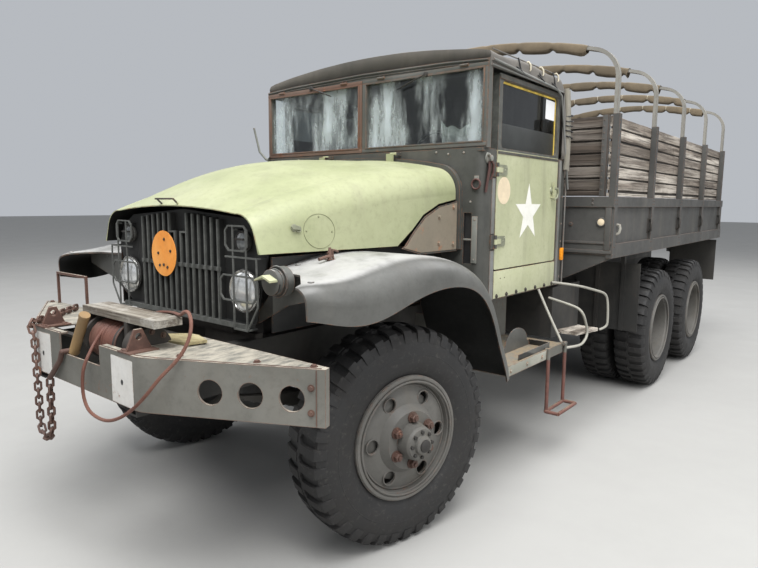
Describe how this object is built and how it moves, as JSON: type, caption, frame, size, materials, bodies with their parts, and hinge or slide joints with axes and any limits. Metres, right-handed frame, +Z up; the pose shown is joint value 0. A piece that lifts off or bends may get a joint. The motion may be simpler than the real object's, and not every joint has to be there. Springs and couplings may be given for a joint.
{
  "type": "military cargo truck",
  "caption": "Weathered military cargo truck with a soft-topped cab, front winch, steered front wheels, twin rear wheels, slatted cargo bed, bows and tailgate.",
  "frame": {"origin": "on the floor, under the middle of the truck", "axes": "+X the truck's left, +Y its rear, +Z up; the wheels stand on Z = 0"},
  "size_m": [2.332, 6.875, 2.732],
  "materials": {
    "cab_paint": "dull, weathered",
    "hood_paint": "satin, faded",
    "fender_paint": "dull, primer-like",
    "chassis_paint": "dull, oily",
    "bumper_paint": "dull, rusty edges",
    "bed_paint": "dull, weathered",
    "grille_paint": "dull",
    "wheel_paint": "dull, dusty",
    "machinery": "rough, oily",
    "tyre": "worn, dusty",
    "glass": "streaky",
    "canvas": "weathered canvas",
    "sleeve_canvas": "weathered canvas",
    "cushion": "worn covering",
    "weathered_wood": "bare, weathered",
    "rusty_steel": "rusty",
    "rope_steel": "rusty strands",
    "lamp_paint": "dull",
    "exhaust_steel": "rusty",
    "wheel_plastic": "worn"
  },
  "bodies": {
    "truck": {"bow_sleeves": "sleeve_canvas", "bows": "bed_paint", "cab_body": "cab_paint", "cab_glass": "glass", "cab_interior": "cab_paint", "cab_steps": "chassis_paint", "cab_top": "canvas", "cargo_bed": "bed_paint", "driveline": "machinery", "engine_and_radiator": "machinery", "exhaust": "exhaust_steel", "frame_rails": "chassis_paint", "front_axle": "chassis_paint", "front_bumper": "bumper_paint", "front_fenders": "fender_paint", "fuel_tank": "chassis_paint", "grille": "grille_paint", "lamps": "lamp_paint", "leaf_springs": "chassis_paint", "rack_boards": "weathered_wood", "rack_posts": "bed_paint", "rear_axles": "chassis_paint", "recovery_chain": "rusty_steel", "seat_cushions": "cushion", "splash_panels": "chassis_paint", "stowage_box": "chassis_paint", "winch": "machinery", "winch_planks": "weathered_wood", "windshield_frame": "cab_paint", "wire_rope": "rope_steel"},
    "knuckle_left": {"knuckle_left": "chassis_paint"},
    "knuckle_right": {"knuckle_right": "chassis_paint"},
    "tie_rod": {"tie_rod": "chassis_paint"},
    "steering_wheel": {"steering_wheel": "wheel_plastic"},
    "front_wheel_left": {"front_wheel_left": "wheel_paint", "front_tyre_left": "tyre"},
    "front_wheel_right": {"front_wheel_right": "wheel_paint", "front_tyre_right": "tyre"},
    "forward_duals_left": {"dual_wheels_forward_left": "wheel_paint", "dual_tyres_forward_left": "tyre"},
    "forward_duals_right": {"dual_wheels_forward_right": "wheel_paint", "dual_tyres_forward_right": "tyre"},
    "rearmost_duals_left": {"dual_wheels_rearmost_left": "wheel_paint", "dual_tyres_rearmost_left": "tyre"},
    "rearmost_duals_right": {"dual_wheels_rearmost_right": "wheel_paint", "dual_tyres_rearmost_right": "tyre"},
    "door_left": {"door_left": "cab_paint", "door_glass_left": "glass"},
    "door_right": {"door_right": "cab_paint", "door_glass_right": "glass"},
    "hood": {"hood": "hood_paint"},
    "tailgate": {"tailgate": "bed_paint"}
  },
  "joints": [
    {"name": "steer_left", "type": "hinge", "parent": "truck", "child": "knuckle_left", "pos_m": [0.68, -2.33625, 0.503], "axis": [0, 0, 1], "range_deg": [-17, 43]},
    {"name": "steer_right", "type": "hinge", "parent": "truck", "child": "knuckle_right", "pos_m": [-0.68, -2.33625, 0.503], "axis": [0, 0, 1], "range_deg": [-17, 43]},
    {"name": "tie_rod_pivot", "type": "hinge", "parent": "knuckle_left", "child": "tie_rod", "pos_m": [0.72836, -2.12676, 0.42], "axis": [0, 0, 1], "range_deg": [-43, 17]},
    {"name": "steering_wheel_turn", "type": "hinge", "parent": "truck", "child": "steering_wheel", "pos_m": [0.42, -1.22625, 1.822], "axis": [0, 0.6428, 0.766], "range_deg": [-340, 860]},
    {"name": "front_wheel_left_spin", "type": "hinge", "parent": "knuckle_left", "child": "front_wheel_left", "pos_m": [0.85539, -2.37674, 0.503], "axis": [0.9744, -0.225, 0], "continuous": true},
    {"name": "front_wheel_right_spin", "type": "hinge", "parent": "knuckle_right", "child": "front_wheel_right", "pos_m": [-0.85539, -2.29576, 0.503], "axis": [-0.9744, 0.225, 0], "continuous": true},
    {"name": "forward_duals_left_spin", "type": "hinge", "parent": "truck", "child": "forward_duals_left", "pos_m": [0.894, 0.99375, 0.503], "axis": [1, 0, 0], "continuous": true},
    {"name": "forward_duals_right_spin", "type": "hinge", "parent": "truck", "child": "forward_duals_right", "pos_m": [-0.894, 0.99375, 0.503], "axis": [-1, 0, 0], "continuous": true},
    {"name": "rearmost_duals_left_spin", "type": "hinge", "parent": "truck", "child": "rearmost_duals_left", "pos_m": [0.894, 2.21275, 0.503], "axis": [1, 0, 0], "continuous": true},
    {"name": "rearmost_duals_right_spin", "type": "hinge", "parent": "truck", "child": "rearmost_duals_right", "pos_m": [-0.894, 2.21275, 0.503], "axis": [-1, 0, 0], "continuous": true},
    {"name": "door_left_hinge", "type": "hinge", "parent": "truck", "child": "door_left", "pos_m": [0.872, -1.46925, 1.5], "axis": [0, 0, -1], "range_deg": [0, 65]},
    {"name": "door_right_hinge", "type": "hinge", "parent": "truck", "child": "door_right", "pos_m": [-0.872, -1.46925, 1.5], "axis": [0, 0, 1], "range_deg": [0, 65]},
    {"name": "hood_hinge", "type": "hinge", "parent": "truck", "child": "hood", "pos_m": [0, -1.63625, 1.836], "axis": [-1, 0, 0], "range_deg": [0, 55]},
    {"name": "tailgate_hinge", "type": "hinge", "parent": "truck", "child": "tailgate", "pos_m": [0, 3.39975, 1.216], "axis": [-1, 0, 0], "range_deg": [0, 90]}
  ],
  "couplings": [
    {"joint": "steer_right", "follows": "steer_left", "ratio": 1},
    {"joint": "tie_rod_pivot", "follows": "steer_left", "ratio": -1},
    {"joint": "steering_wheel_turn", "follows": "steer_left", "ratio": 20}
  ]
}
